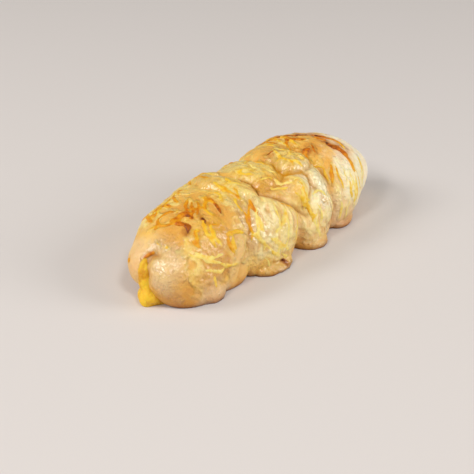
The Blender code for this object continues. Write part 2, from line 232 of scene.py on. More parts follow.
# Where the dough stayed pale, with painted light where the ends, the near lobe and its nub face the lamps;
# where it turned golden, and where it scorched
PALE_AND_LIT = table(Patch, [
    (-81.5, 66, 6.5, 8, 40, 0.25),
    (-85, -80, 12, 16, 0, 0.25),
    (23, 64, 11, 12, 0, 0.95),
    (56, 96, 12, 14, 0, 0.4),
    (-63, 119, 10, 9, 0, 0.6),
    (-45, 92, 7, 17, 20, 0.2),
    (18, 92, 13, 15, 0, 0.5),
    (42, 96, 15, 15, 0, 0.45),
    (79, 60, 20, 30, 0, 1),
    (85, 30, 11, 24, 0, 0.9),
    (54, 76, 12, 17, 0, 0.9),
    (-24, 72, 14, 16, 20, 0.35),
    (-6, 84, 14, 16, 20, 0.3),
])
GOLDEN = table(Patch, [
    (-40, 46, 18, 18, 0, 1),
    (-56, 26, 20, 22, 0, 0.7),
    (-75, 94, 13, 14, 30, 0.3),
    (-68, 112, 16, 10, 20, 0.7),
    (46, 4, 22, 24, 0, 0.6),
    (42, 40, 10, 12, 0, 0.85),
    (30, -24, 20, 16, 0, 0.6),
    (21, -4, 11, 9, 0, 0.9),
    (-6.2, 50, 10, 6.5, 0, 1),
    (0, -40, 40, 16, 0, 0.5),
])
SCORCHED = table(Patch, [
    (-53.5, 38, 2.5, 4.5, 0, 0.6),
    (-65.5, 41, 2.5, 2.5, 0, 0.5),
    (40, 20, 5, 5, 0, 0.6),
    (60, 30, 4, 6, 0, 0.6),
    (46, -36, 26, 6, 20, 0.45),
    (54.8, 14, 4, 11, 10, 0.7),
    (-14.3, 110, 1.8, 1.8, 0, 0.9),
])
# Where the crust is wet with fat and shines
WET = table(Patch, [
    (-82, 64, 10, 12, 20, 1),
    (-29, 66, 10, 18, 12, 1),
    (-18, 84, 16, 14, 12, 0.6),
    (-61, 78, 12, 14, 20, 0.7),
    (-5, 14, 12, 20, 0, 0.5),
    (20, 30, 13, 16, 0, 0.6),
    (26.5, 60, 6, 11, 0, 1),
    (-25, 8, 10, 20, 0, 0.5),
    (30, 86, 8, 12, 0, 0.6),
])
PATCH_EDGE, PATCH_WAVE, PATCH_WAVE_SIZE = 1.00, 0.45, 0.006
PATCH_RIPPLE, PATCH_RIPPLE_SIZE = 0.5, 0.002
FILM_RELIEF, FILM_RELIEF_SIZE = 0.00050, 0.0030
FILM_SINK = 0.00070
GRAIN_HEIGHT, GRAIN_SIZE, DOUGH_GRAIN = 0.00016, 0.0018, 0.4
# How high the foot browns, and how high the band of painted contact shadow and burnt edge reaches
FOOT_BROWN_HEIGHT, BURNT_RIM_AND_SHADOW_HEIGHT = 0.0054, 0.0016

# Where the cheese melted into long low ridges: place, half-lengths along and across, heading, how much
Flow = namedtuple("Flow", "x angle along across heading amount")
FLOWS = table(Flow, [
    (-21, 70, 19, 22, 108, 1),
    (-15, 94, 19, 13, 45, 1),
    (-3, 8, 26, 15, 60, 0.6),
    (-26.5, 2, 26, 11, 75, 0.6),
    (8, 60, 14, 11, 55, 0.7),
    (20.5, 20, 22, 13, 65, 0.7),
    (19, 84, 18, 15, 80, 0.8),
    (46, 76, 20, 12, 92, 0.5),
    (60, 70, 22, 10, 92, 0.4),
    (-62, 78, 16, 14, 50, 0.9),
    (-56, 22, 20, 18, 76, 0.2),
    (-56, -44, 20, 18, 95, 0.8),
    (-20, -58, 22, 18, 98, 0.8),
    (10, -58, 22, 16, 84, 0.8),
    (42, -54, 24, 20, 92, 0.8),
])
RIDGE_LENGTH, RIDGE_WIDTH, RIDGE_HEIGHT, RIDGE_SHARPNESS = 0.0075, 0.0036, 0.0006, 2.0
RIDGE_WARP, RIDGE_WARP_SIZE = 0.0026, 0.006

# Baked shreds that show singly: tone at both ends (0 pale, 1 burnt), half-width and places
Shred = namedtuple("Shred", "tones width places")
SHREDS = table(Shred, [
    ((0.4, 0.66), 1.2, [(-73.7, -28), (-71.4, -15), (-70, -5), (-67.8, 8), (-64.8, 21)]),
    ((0.68, 0.95), 1.5, [(-65.5, 15), (-63, 30), (-62.9, 37), (-64.4, 41), (-66, 45)]),
    ((0.5, 0.64), 1.1, [(-70.4, -4), (-69, -15), (-64.8, -16), (-61.2, -9), (-59.3, 1)]),
    ((0.55, 0.88), 1.8, [(-66.1, 7), (-63.1, 12), (-59.3, 13), (-57.2, 18), (-58.2, 32)]),
    ((0.55, 0.68), 1.3, [(-48.1, -4), (-52.8, 4), (-55.9, 14), (-58.2, 18)]),
    ((0.55, 0.72), 1.2, [(-48.9, 4), (-52.8, 17), (-56, 26)]),
    ((0.4, 0.6), 1.2, [(-40.5, 8), (-43, 16), (-45.5, 23), (-48.1, 30)]),
    ((0.55, 0.92), 1.4, [(-41.1, 14), (-40.9, 22), (-42.2, 33), (-43, 39), (-44.5, 45)]),
    ((0.92, 1), 1.5, [(-53.8, 36), (-54.3, 40), (-54.9, 44)]),
    ((0.4, 0.22), 1.7, [(-55, 42), (-57.6, 51), (-58.9, 57), (-59.1, 64), (-58.3, 71)]),
    ((0.3, 0.24), 1.5, [(-53.2, 49), (-55.2, 56), (-56, 64), (-55.1, 71)]),
    ((0.55, 0.5), 0.8, [(-54.3, 48), (-50, 52)]),
    ((0.45, 0.4), 0.9, [(-63, 45), (-59.6, 49)]),
    ((0.55, 0.42), 1.3, [(-62.9, 47), (-63.9, 53), (-65.5, 62)]),
    ((0.5, 0.42), 1.4, [(-66.3, 54), (-66.8, 60), (-65.1, 65)]),
    ((0.5, 0.6), 1, [(-58.5, -36), (-60.8, -33), (-64.1, -29)]),
    ((0.5, 0.5), 1, [(-50, -33), (-54.2, -33), (-56.4, -35)]),
    ((0.6, 0.55), 1, [(-61.2, 18), (-64.1, 17), (-66.1, 12)]),
    ((0.6, 0.68), 1.1, [(-46.9, 11), (-50.8, 24), (-55.2, 31)]),
    ((0.75, 0.62), 1, [(-59, 30), (-56, 24), (-52.8, 19)]),
    ((0.5, 0.5), 1, [(-62.5, 45), (-61, 48), (-59.6, 49)]),
    ((0.5, 0.55), 0.9, [(-54.6, 48), (-52.1, 50), (-50.1, 53)]),
    ((0.08, 0.12), 1.6, [(-70.5, 67), (-67.1, 74), (-63.2, 79), (-58, 83)]),
    ((0.1, 0.15), 1.6, [(-69, 84), (-64.9, 85), (-59.9, 90), (-55.9, 89)]),
    ((0.22, 0.15), 1.8, [(-26.1, 63), (-27.9, 71), (-27.8, 76)]),
    ((0.16, 0.1), 1.6, [(-8, 67), (-9.8, 72), (-13.7, 77), (-19.7, 80)]),
    ((0.15, 0.1), 1.5, [(-0.1, 77), (-1.7, 83), (-2.8, 92), (4.8, 114)]),
    ((0.15, 0.1), 1.6, [(-35.2, 72), (-32, 78), (-29.1, 86), (-28.8, 91)]),
    ((0.15, 0.12), 1.6, [(-25.1, 80), (-20.1, 87), (-15.1, 101)]),
    ((0.3, 0.3), 0.9, [(-60, 46), (-62.9, 49), (-63.3, 56)]),
    ((0.44, 0.3), 1.5, [(-50.1, 65), (-47.8, 64), (-42.1, 66), (-37.9, 69)]),
    ((0.46, 0.34), 1.5, [(-48.9, 66), (-50, 73), (-48.8, 81)]),
    ((0.35, 0.3), 1.2, [(-45.9, 67), (-47.7, 72), (-47.9, 79)]),
    ((0.55, 0.4), 1, [(-30.5, 50), (-32.2, 59), (-33.3, 66), (-34.2, 73), (-36.8, 79)]),
    ((0.55, 0.45), 0.9, [(-26.5, 28), (-27.2, 33), (-28.4, 40)]),
    ((0.15, 0.1), 1.3, [(-72, 64), (-69.4, 70), (-66, 73), (-61.6, 75)]),
    ((0.35, 0.3), 0.8, [(-77.1, 15), (-78.1, 29)]),
    ((0.35, 0.3), 0.9, [(-77.1, 39), (-77, 47)]),
    ((0.6, 0.6), 0.9, [(-70, -11), (-73.1, -11)]),
    ((0.6, 0.7), 1.1, [(-81.4, 32), (-82.5, 20), (-83.8, 8), (-85.2, -2)]),
    ((0.55, 0.55), 1.2, [(-84.6, -68), (-85, -73), (-85.2, -79)]),
    ((0.35, 0.45), 1, [(-64, -28), (-60, -32), (-55.1, -31), (-51.7, -30)]),
    ((0.3, 0.4), 1, [(-50, -33), (-43.9, -40), (-35.8, -48)]),
    ((0.45, 0.55), 0.9, [(-66, -34), (-60.6, -38), (-56, -39)]),
    ((0.55, 0.55), 1.1, [(-23.9, 43), (-25.7, 52), (-26.1, 61)]),
    ((0.55, 0.5), 1, [(-26.1, 48), (-30, 57), (-33.2, 68)]),
    ((0.4, 0.5), 1, [(-28.1, 6), (-28.2, 21), (-26.8, 34)]),
    ((0.3, 0.45), 0.9, [(-24.1, 20), (-25.7, 32), (-26.7, 40)]),
    ((0.2, 0.3), 1, [(-10.8, -3), (-5.8, 0), (-3.3, 12)]),
    ((0.35, 0.4), 1, [(-1.1, -10), (9, -18), (10.5, 0), (10, 17)]),
    ((0.2, 0.25), 1, [(-6.3, 31), (-1.2, 33), (1.9, 40)]),
    ((0.05, 0.1), 1.3, [(-23, 55), (-28.2, 63), (-31, 74), (-30.1, 80)]),
    ((0.15, 0.1), 1.1, [(-7.8, 64), (-8.2, 71), (-8.9, 80)]),
    ((0.25, 0.2), 1.1, [(3.3, 73), (-1, 82), (-1.9, 95)]),
    ((0.15, 0.2), 1.2, [(-21.7, 83), (-15.1, 94), (-8.1, 105)]),
    ((0.15, 0.15), 1.2, [(-30.8, 82), (-24.3, 93), (-18.9, 105)]),
    ((0.7, 0.5), 0.9, [(38.1, -21), (33.9, -7), (28.3, 11)]),
    ((0.6, 0.5), 1, [(36.8, 15), (33.9, 31), (29.7, 40)]),
    ((0.45, 0.35), 1, [(31, 39), (36.1, 45), (35.8, 55), (34.1, 65)]),
    ((0.96, 0.66), 2.3, [(53.5, 19), (53.4, 29), (54.5, 36), (55.5, 44), (55.9, 51)]),
    ((0.66, 0.4), 1.5, [(55.8, 48), (56.2, 55), (56, 61), (54.9, 67)]),
    ((0.92, 0.35), 1.1, [(56, -4), (59.3, 9), (61.6, 15), (61.7, 24), (60.2, 41)]),
    ((0.8, 0.92), 1.1, [(33, -38), (42.2, -28), (47, -22), (51.1, -14), (55.9, -9)]),
    ((0.75, 0.8), 0.8, [(38.9, -17), (43.1, -11), (45, -2)]),
    ((0.85, 0.75), 2, [(36.4, 14), (38.8, 17), (41.4, 17)]),
    ((0.75, 0.7), 0.8, [(44.3, 12), (43.6, 18), (40.2, 29)]),
    ((0.5, 0.52), 1.3, [(43, 50), (39.1, 57), (37.4, 63), (35.8, 68)]),
    ((0.82, 0.82), 0.6, [(14.7, -6), (18.1, -5), (22.1, -5)]),
    ((0.66, 0.6), 0.5, [(35.1, -13), (32.1, -3), (37, -1), (36.8, 10)]),
    ((0.45, 0.28), 1.1, [(44, 52), (42, 64), (41.8, 71), (41.8, 76)]),
    ((0.12, 0.15), 0.9, [(48.4, 57), (46.9, 67), (45.3, 74)]),
    ((0.15, 0.12), 0.9, [(50.8, 63), (49.9, 73), (48.1, 82)]),
    ((0.2, 0.15), 0.9, [(56.4, 60), (57.4, 70)]),
    ((0.32, 0.25), 0.9, [(57.2, 70), (57.7, 78), (58.2, 87)]),
    ((1, 1), 2.6, [(-15.6, 109), (-14.3, 110), (-13, 110)]),
    ((0.2, 0.15), 1, [(7.1, 50), (11.8, 51), (13.6, 58)]),
    ((0.2, 0.15), 1, [(9, 59), (11.2, 66), (14, 74)]),
    ((0.05, 0.1), 1.1, [(14.8, 67), (22.1, 67), (25, 74), (24.3, 81)]),
    ((0.1, 0.15), 1, [(17.8, 72), (17, 80), (14.1, 87)]),
    ((0.5, 0.45), 0.9, [(-8, 61), (-2, 67), (-0.2, 71)]),
    ((0.12, 0.08), 1.4, [(-69, 65), (-65.8, 72), (-60.2, 77), (-55, 77)]),
])

# Shreds that lie close together: the area, how many, their heading from +X, its spread, lengths, tones
Cluster = namedtuple("Cluster", "x angle along across count heading spread lengths tones")
CLUSTERS = table(Cluster, [
    (-52, 12, 12, 12, 3, 75, 45, (7, 12), (0.4, 0.6)),
    (-62, 76, 9, 12, 3, 55, 35, (6, 12), (0.1, 0.25)),
    (-27, 0, 9, 20, 6, 80, 35, (7, 14), (0.15, 0.4)),
    (-4, 12, 10, 20, 6, 65, 40, (7, 14), (0, 0.25)),
    (-10, 76, 12, 10, 3, 100, 14, (10, 18), (0, 0.15)),
    (-18, 92, 13, 8, 3, 45, 15, (10, 18), (0, 0.15)),
    (9, 62, 7, 9, 6, 70, 25, (6, 11), (0.1, 0.3)),
    (21, 18, 10, 18, 7, 75, 30, (7, 14), (0.1, 0.35)),
    (20, 82, 10, 10, 5, 85, 25, (8, 14), (0, 0.12)),
    (48, 76, 12, 10, 9, 90, 10, (8, 16), (0, 0.18)),
    (52, -14, 14, 12, 4, 70, 25, (8, 14), (0.6, 0.8)),
    (64, 70, 7, 14, 4, 90, 15, (7, 12), (0, 0.15)),
    (-56, -50, 18, 14, 14, 90, 35, (7, 14), (0.25, 0.6)),
    (-25, -60, 14, 14, 12, 100, 30, (7, 14), (0.15, 0.5)),
    (5, -60, 14, 14, 12, 80, 30, (7, 14), (0.1, 0.45)),
    (40, -55, 18, 15, 14, 95, 25, (8, 18), (0.2, 0.65)),
    (64, -48, 8, 12, 4, 90, 20, (10, 18), (0.05, 0.25)),
])
SHRED_SEED = 7
CLUSTER_WIDTHS, CLUSTER_BEND, CLUSTER_PARTS = (0.0009, 0.0016), 40, 4
CLUSTER_TONE_CHANGE, CLUSTER_REACH = (-0.1, 0.15), 0.086

# How each shred is formed: its lines' spacing, its section, and how unevenly it runs
ROUND_RADIUS = 0.028
CURVE_STEPS, SHRED_SPACING, SHRED_LEAST_POINTS = 12, 0.0006, 6
RING_SIDES, SHRED_FLATNESS = 8, 0.58
SHRED_TIP, SHRED_UNEVENNESS, SHRED_UNEVEN_SIZE = 0.25, 0.6, 0.004
SHRED_WANDER, SHRED_WANDER_SIZE = 0.0010, 0.005
SINK_TONES, SHRED_SINKS = (0.15, 0.60), (0.70, 0.10)
SHRED_CEILING = 0.04604

# How a shred marks the crust beside it, and its own edge where it meets the crust
HALO_WIDTH, HALO_FILM, HALO_BROWN = 0.0016, 0.75, 0.55
TOASTING_TONES = (0.45, 0.85)
EDGE_TONE, EDGE_HEIGHT = -0.06, 0.0004

# Colours, in display values from 0 to 255
DOUGH, DOUGH_PALE, DOUGH_GOLDEN = (250, 200, 94), (255, 245, 214), (222, 158, 66)
FILM_PALE, FILM_YELLOW, FILM_DEEP = (252, 222, 128), (234, 180, 40), (220, 150, 20)
# Painted shade: a deeper yellow for the gaps between the melted ridges, and a dark ochre for the valleys
# between the mounds
FILM_GAP_SHADE, VALLEY_SHADE_TONE = (222, 152, 20), (196, 132, 2)
TOASTED, SCORCH = (200, 120, 30), (132, 64, 14)
# Painted shadow for the deepest lines of the creases, and a dark brown for the lowest crust's painted
# contact shadow and burnt edge
CLEFT_SHADOW_TONE, BURNT_RIM_AND_SHADOW_TONE = (146, 88, 0), (104, 48, 14)
SHRED_TONES = [(0.0, (246, 220, 130)), (0.25, (238, 190, 52)), (0.5, (224, 150, 18)),
               (0.75, (196, 106, 8)), (1.0, (84, 28, 4))]
POOL_YELLOW, POOL_DEEP = (254, 204, 38), (222, 156, 6)
FLOOR_TONE = (214, 206, 200)

# Camera, and the soft lights with their places as seen from it
AIM = (-0.00637, 0.00714, 0.0)
AZIMUTH, ELEVATION, DISTANCE, LENS = -46.0, 29.5, 0.620, 82.3
Light = namedtuple("Light", "name rightwards frontwards up size power")
LIGHTS = [
    Light("key", -1.76, 0.24, 1.36, 0.8, 23),
    Light("fill", 2.08, 0.4, 0.96, 0.96, 26),
    Light("overhead", 0.4, 0.72, 1.44, 0.35, 6.8),
    Light("front left", -0.96, 1.23, 1.38, 0.42, 11.5),
]
SKY_STRENGTH = 0.22
FLOOR_SIZE = 12


def linear(display):
    """A display colour from 0 to 255 as a shader colour."""
    parts = [value / 255 for value in display]
    return tuple(c / 12.92 if c <= 0.04045 else ((c + 0.055) / 1.055) ** 2.4 for c in parts) + (1.0,)


def end_taper(x, shoulders, roundness):
    """How much of the full section is left at x: 1 between the shoulders, 0 at both tips."""
    near = np.clip((shoulders[0] - x) / (REACH + shoulders[0]), 0, 1)
    far = np.clip((x - shoulders[1]) / (REACH - shoulders[1]), 0, 1)
    return (1 - near**2) ** roundness[0] * (1 - far**2) ** roundness[1]


def spine_bend(x):
    """How far the middle of the roll leans to one side at x."""
    return np.where(x < 0, NEAR_BEND, FAR_BEND) * (x / REACH) ** 2


def loaf_point(x, angle):
    """The point of the plain loaf's skin at x and an angle in radians."""
    side, up = np.sin(angle), np.cos(angle)
    front = FRONT_WIDTH * end_taper(x, WIDTH_SHOULDERS, WIDTH_ROUNDNESS)
    rear = BACK_WIDTH * end_taper(x, BACK_SHOULDERS, WIDTH_ROUNDNESS)
    crown = CROWN * end_taper(x, HEIGHT_SHOULDERS, HEIGHT_ROUNDNESS)
    belly = BELLY * end_taper(x, BELLY_SHOULDERS, HEIGHT_ROUNDNESS)
    depth = np.where(up > 0, crown, belly)
    under = np.interp(x, FAR_UNDERSIDE, (BOTTOM_SQUARENESS, FAR_SQUARENESS))
    power = np.where(up > 0, TOP_SQUARENESS, under)
    width, depth = np.maximum(np.where(side > 0, front, rear), 1e-6), np.maximum(depth, 1e-6)
    radius = ((np.abs(side) / width) ** power + (np.abs(up) / depth) ** power) ** (-1 / power)
    return np.stack([x, spine_bend(x) - radius * side, SPINE_HEIGHT + radius * up], axis=-1)


def skin_place(x, degrees):
    """A place on the plain loaf: its point, the directions along and round the skin, and outwards."""
    angle, step, turn = math.radians(degrees), 1e-4, 0.01
    x = min(max(x, step - REACH), REACH - step)
    along = loaf_point(x + step, angle) - loaf_point(x - step, angle)
    around = loaf_point(x, angle + turn) - loaf_point(x, angle - turn)
    along /= np.linalg.norm(along)
    outward = np.cross(around, along)
    outward /= np.linalg.norm(outward)
    return loaf_point(x, angle), along, np.cross(along, outward), outward


def offsets(points, x, degrees, turn=0):
    """Each point's distance from a place on the skin, as its parts along and round the roll."""
    centre, along, around, _ = skin_place(x, degrees)
    apart = points - centre
    a, b = apart @ along, apart @ around
    stretch = np.linalg.norm(apart, axis=1) / np.maximum(np.hypot(a, b), 1e-6)
    c, s = math.cos(math.radians(turn)), math.sin(math.radians(turn))
    return (a * c + b * s) * stretch, (b * c - a * s) * stretch


def soft_maximum(a, b, softness):
    """The larger of two heights, rounded where they meet."""
    return np.maximum(a, b) + np.maximum(softness - np.abs(a - b), 0) ** 2 / (4 * softness)


def swelling(points, lobes, softness):
    """How far the given lobes stand off the plain loaf."""
    height = np.zeros(len(points))
    for lobe in lobes:
        along, across = offsets(points, lobe.x, lobe.angle, lobe.turn)
        inside = np.clip(1 - (along / lobe.along) ** 2 - (across / lobe.across) ** 2, 0, 1)
        own = np.where(inside > 0, lobe.rise, 0) + lobe.swell * inside**LOBE_ROUNDNESS
        height = soft_maximum(height, own, softness)
    return height


def plait_height(points):
    """How far the lobes, with the cheese mounded on them, stand off the plain loaf."""
    return swelling(points, LOBES, JOIN_SOFTNESS) + swelling(points, MOUNDS, MOUND_SOFTNESS)


def skin_path(places):
    """Points along the plain loaf's skin, close together, through the given places."""
    x, degrees = np.array(places).T
    steps = np.linspace(0, len(places) - 1, PATH_STEPS * (len(places) - 1) + 1)
    x = np.interp(steps, np.arange(len(places)), x)
    angle = np.radians(np.interp(steps, np.arange(len(places)), degrees))
    return loaf_point(np.clip(x, -REACH, REACH), angle)


def path_distance(points, path):
    """The distance from each point to the nearest stretch of a path."""
    nearest = np.full(len(points), np.inf)
    for start, end in zip(path[:-1], path[1:]):
        run = end - start
        share = np.clip((points - start) @ run / max(run @ run, 1e-12), 0, 1)
        gap = np.linalg.norm(points - start - share[:, None] * run, axis=1)
        nearest = np.minimum(nearest, gap)
    return nearest


def crease_depth(points, creases):
    """How deep the given creases press in."""
    depth = np.zeros(len(points))
    for crease in creases:
        gap = path_distance(points, skin_path(crease.places))
        depth = np.maximum(depth, crease.depth * np.exp(-((gap / crease.width) ** CREASE_SHARPNESS)))
    return depth


def waves(points, size):
    """Smooth noise from -1 to 1 with features of the given size."""
    return np.array([noise.noise(Vector(p) / size) for p in points])


def spread_feet(points, middle):
    """Pushes the lowest dough outwards: a slight skirt all round, and the front's flat feet."""
    low = np.clip(1 - points[:, 2] / SKIRT_HEIGHT, 0, 1)
    side = np.sign(points[:, 1] - middle)
    reach = SKIRT_SPREAD * low * side * np.interp(points[:, 0], FAR_UNDERSIDE, (1, 0))
    for foot in FEET:
        window = np.clip(1 - ((points[:, 0] - foot.x) / foot.along) ** 2, 0, 1) ** 0.5
        level = np.clip(1 - (points[:, 2] / foot.height) ** 2, 0, 1) ** 0.5
        reach = np.where(side < 0, reach - foot.reach * window * level, reach)
    points[:, 1] += reach


def remeshed(bm, name, voxel, smoothing):
    """The shape as an even, slightly smoothed mesh."""
    mesh = bpy.data.meshes.new(name)
    bm.to_mesh(mesh)
    bm.free()
    rough = bpy.data.objects.new(name, mesh)
    bpy.context.collection.objects.link(rough)
    even = rough.modifiers.new("even", "REMESH")
    even.mode = "VOXEL"
    even.voxel_size = voxel
    smooth = rough.modifiers.new("smooth", "SMOOTH")
    smooth.factor = 0.5
    smooth.iterations = smoothing
    graph = bpy.context.evaluated_depsgraph_get()
    mesh = bpy.data.meshes.new_from_object(rough.evaluated_get(graph))
    bpy.data.objects.remove(rough)
    return mesh


def plain_loaf():
    """The loaf without its plait."""
    bm = bmesh.new()
    bmesh.ops.create_uvsphere(bm, u_segments=SPHERE_SEGMENTS, v_segments=SPHERE_SEGMENTS, radius=1)
    for vertex in bm.verts:
        pole, side, up = vertex.co.z, vertex.co.x, vertex.co.y
        vertex.co = Vector(loaf_point(np.float64(REACH * pole), np.float64(math.atan2(side, up))))
    bmesh.ops.recalc_face_normals(bm, faces=bm.faces)
    return remeshed(bm, "plain_loaf", LOAF_VOXEL, LOAF_SMOOTHING)


def vertex_points(mesh):
    values = np.empty(len(mesh.vertices) * 3, np.float32)
    mesh.vertices.foreach_get("co", values)
    return values.reshape(-1, 3).astype(np.float64)


def vertex_normals(mesh):
    values = np.empty(len(mesh.vertices) * 3, np.float32)
    mesh.vertex_normals.foreach_get("vector", values)
    return values.reshape(-1, 3).astype(np.float64)


def set_points(mesh, points):
    mesh.vertices.foreach_set("co", points.astype(np.float32).ravel())
    mesh.update()


def set_values(mesh, name, values):
    """Keeps one number per vertex on the mesh, for its material."""
    layer = mesh.attributes.new(name, "FLOAT", "POINT")
    layer.data.foreach_set("value", np.clip(values, 0, 1).astype(np.float32))


def patch_cover(points, patches, unevenness):
    """How much of the patches covers each point, with wavy soft edges."""
    cover = np.zeros(len(points))
    for patch in patches:
        along, across = offsets(points, patch.x, patch.angle, patch.turn)
        reach = np.hypot(along / patch.along, across / patch.across) + PATCH_WAVE * unevenness
        edge = np.clip((1 + PATCH_EDGE / 2 - reach) / PATCH_EDGE, 0, 1)
        cover = np.maximum(cover, patch.amount * edge * edge * (3 - 2 * edge))
    return cover


def melted_ridges(points):
    """How strongly a melted strand stands out at each point, and how deep the gap beside it is."""
    ridge, reach = np.zeros(len(points)), np.zeros(len(points))
    warp = RIDGE_WARP * waves(points, RIDGE_WARP_SIZE)
    for number, flow in enumerate(FLOWS):
        along, across = offsets(points, flow.x, flow.angle, flow.heading)
        inside = np.clip(1 - (along / flow.along) ** 2 - (across / flow.across) ** 2, 0, 1)
        across += warp
        for place in np.flatnonzero(inside):
            spot = Vector((along[place] / RIDGE_LENGTH, across[place] / RIDGE_WIDTH, number))
            crest = max(0, 1 - RIDGE_SHARPNESS * abs(noise.noise(spot)))
            amount = flow.amount * min(1, 2 * inside[place])
            ridge[place] = max(ridge[place], amount * crest)
            reach[place] = max(reach[place], amount)
    return ridge, reach - ridge


def add_object(name, mesh):
    thing = bpy.data.objects.new(name, mesh)
    bpy.context.scene.collection.objects.link(thing)
    mesh.name = name
    mesh.shade_smooth()
    return thing


def smooth_path(places):
    """Evenly spaced (x, angle) places on a smooth line through the given ones."""
    knots = np.array(places, float)
    if len(knots) == 2:
        knots = np.array([knots[0], knots.mean(axis=0), knots[1]])
    padded = np.vstack([2 * knots[0] - knots[1], knots, 2 * knots[-1] - knots[-2]])
    line = []
    for p0, p1, p2, p3 in zip(padded[:-3], padded[1:-2], padded[2:-1], padded[3:]):
        for t in np.linspace(0, 1, CURVE_STEPS, endpoint=False):
            line.append(0.5 * (2 * p1 + (p2 - p0) * t + (2 * p0 - 5 * p1 + 4 * p2 - p3) * t * t
                               + (3 * p1 - p0 - 3 * p2 + p3) * t**3))
    line.append(knots[-1])
    line = np.array(line)
    flat = line * (1, math.radians(1) * ROUND_RADIUS)
    run = np.concatenate([[0], np.cumsum(np.linalg.norm(np.diff(flat, axis=0), axis=1))])
    count = max(SHRED_LEAST_POINTS, round(run[-1] / SHRED_SPACING))
    even = np.linspace(0, run[-1], count)
    return np.stack([np.interp(even, run, line[:, 0]), np.interp(even, run, line[:, 1])], axis=-1)


def scattered_shreds():
    """The shreds of the clusters, each a short bent line."""
    chance = random.Random(SHRED_SEED)
    shreds = []
    for cluster in CLUSTERS:
        for _ in range(cluster.count):
            reach, way = math.sqrt(chance.random()), chance.uniform(0, math.tau)
            x = cluster.x + cluster.along * reach * math.cos(way)
            angle = cluster.angle + math.degrees(cluster.across * reach * math.sin(way) / ROUND_RADIUS)
            heading = math.radians(cluster.heading + chance.uniform(-1, 1) * cluster.spread)
            bend = math.radians(chance.uniform(-CLUSTER_BEND, CLUSTER_BEND))
            step = chance.uniform(*cluster.lengths) / CLUSTER_PARTS
            places = [(x, angle)]
            for part in range(CLUSTER_PARTS):
                turned = heading + bend * (part / (CLUSTER_PARTS - 1) - 0.5)
                x += step * math.cos(turned)
                angle += math.degrees(step * math.sin(turned) / ROUND_RADIUS)
                places.append((x, angle))
            places = [(min(max(x, -CLUSTER_REACH), CLUSTER_REACH), angle) for x, angle in places]
            tone = chance.uniform(*cluster.tones)
            tones = (tone, min(1, tone + chance.uniform(*CLUSTER_TONE_CHANGE)))
            shreds.append(Shred(tones, chance.uniform(*CLUSTER_WIDTHS), places))
    return shreds


def draped(shred, crust, shift):
    """A shred's middle line on the crust, the directions out of the crust, and its tone along it."""
    places = smooth_path(shred.places)
    plain = loaf_point(places[:, 0], np.radians(places[:, 1]))
    outward = np.array([skin_place(x, degrees)[3] for x, degrees in places])
    raised = plain + outward * plait_height(plain)[:, None] + shift
    line, out = [], []
    for point in raised:
        place, normal, _, _ = crust.find_nearest(Vector(point))
        line.append(place)
        out.append(normal)
    line, out = np.array(line), np.array(out)
    for values in (line, out):
        values[1:-1] = (values[:-2] + 2 * values[1:-1] + values[2:]) / 4
    out /= np.linalg.norm(out, axis=1)[:, None]
    return line, out, np.linspace(shred.tones[0], shred.tones[1], len(line))


def add_strand(bm, line, out, width, sink, seed):
    """A flattened strand along a line, sunk into the crust, uneven in width and pointed at its ends."""
    run = np.gradient(line, axis=0)
    run /= np.linalg.norm(run, axis=1)[:, None]
    side = np.cross(run, out)
    share = np.linspace(-1, 1, len(line))
    taper = (1 - np.abs(share) ** 3) ** 0.5
    uneven = SHRED_UNEVENNESS * waves(line + seed, SHRED_UNEVEN_SIZE)
    half = width * np.maximum(taper, SHRED_TIP) * (1 + uneven)
    wander = waves(line - seed, SHRED_WANDER_SIZE) * SHRED_WANDER
    centres = line + side * wander[:, None] - out * (half * SHRED_FLATNESS * sink)[:, None]
    rings = []
    for centre, across, up, size in zip(centres, side, out, half):
        ring = []
        for k in range(RING_SIDES):
            way = math.tau * k / RING_SIDES
            offset = across * math.cos(way) + up * math.sin(way) * SHRED_FLATNESS
            ring.append(bm.verts.new(centre + offset * size))
        rings.append(ring)
    for first, second in zip(rings[:-1], rings[1:]):
        for k in range(RING_SIDES):
            n = (k + 1) % RING_SIDES
            bm.faces.new((first[k], first[n], second[n], second[k]))
    bm.faces.new(rings[0][::-1])
    bm.faces.new(rings[-1])


def shred_mesh(crust, shift):
    """All the shreds run together, with their middle points and tones."""
    bm = bmesh.new()
    points, tones = [], []
    for number, shred in enumerate(SHREDS + scattered_shreds()):
        line, out, tone = draped(shred, crust, shift)
        sink = np.interp(sum(shred.tones) / 2, SINK_TONES, SHRED_SINKS)
        add_strand(bm, line, out, shred.width, sink, number)
        points.extend(line)
        tones.extend(tone)
    bmesh.ops.recalc_face_normals(bm, faces=bm.faces)
    mesh = remeshed(bm, "shreds", SHRED_VOXEL, SHRED_SMOOTHING)
    return mesh, np.array(points), np.array(tones)


def nearest_tones(points, middles, tones):
    """The distance from each point to the nearest shred's middle, and the tone there."""
    tree = KDTree(len(middles))
    for number, middle in enumerate(middles):
        tree.insert(middle, number)
    tree.balance()
    found = [tree.find(point) for point in points]
    return np.array([gap for _, _, gap in found]), np.array([tones[number] for _, number, _ in found])


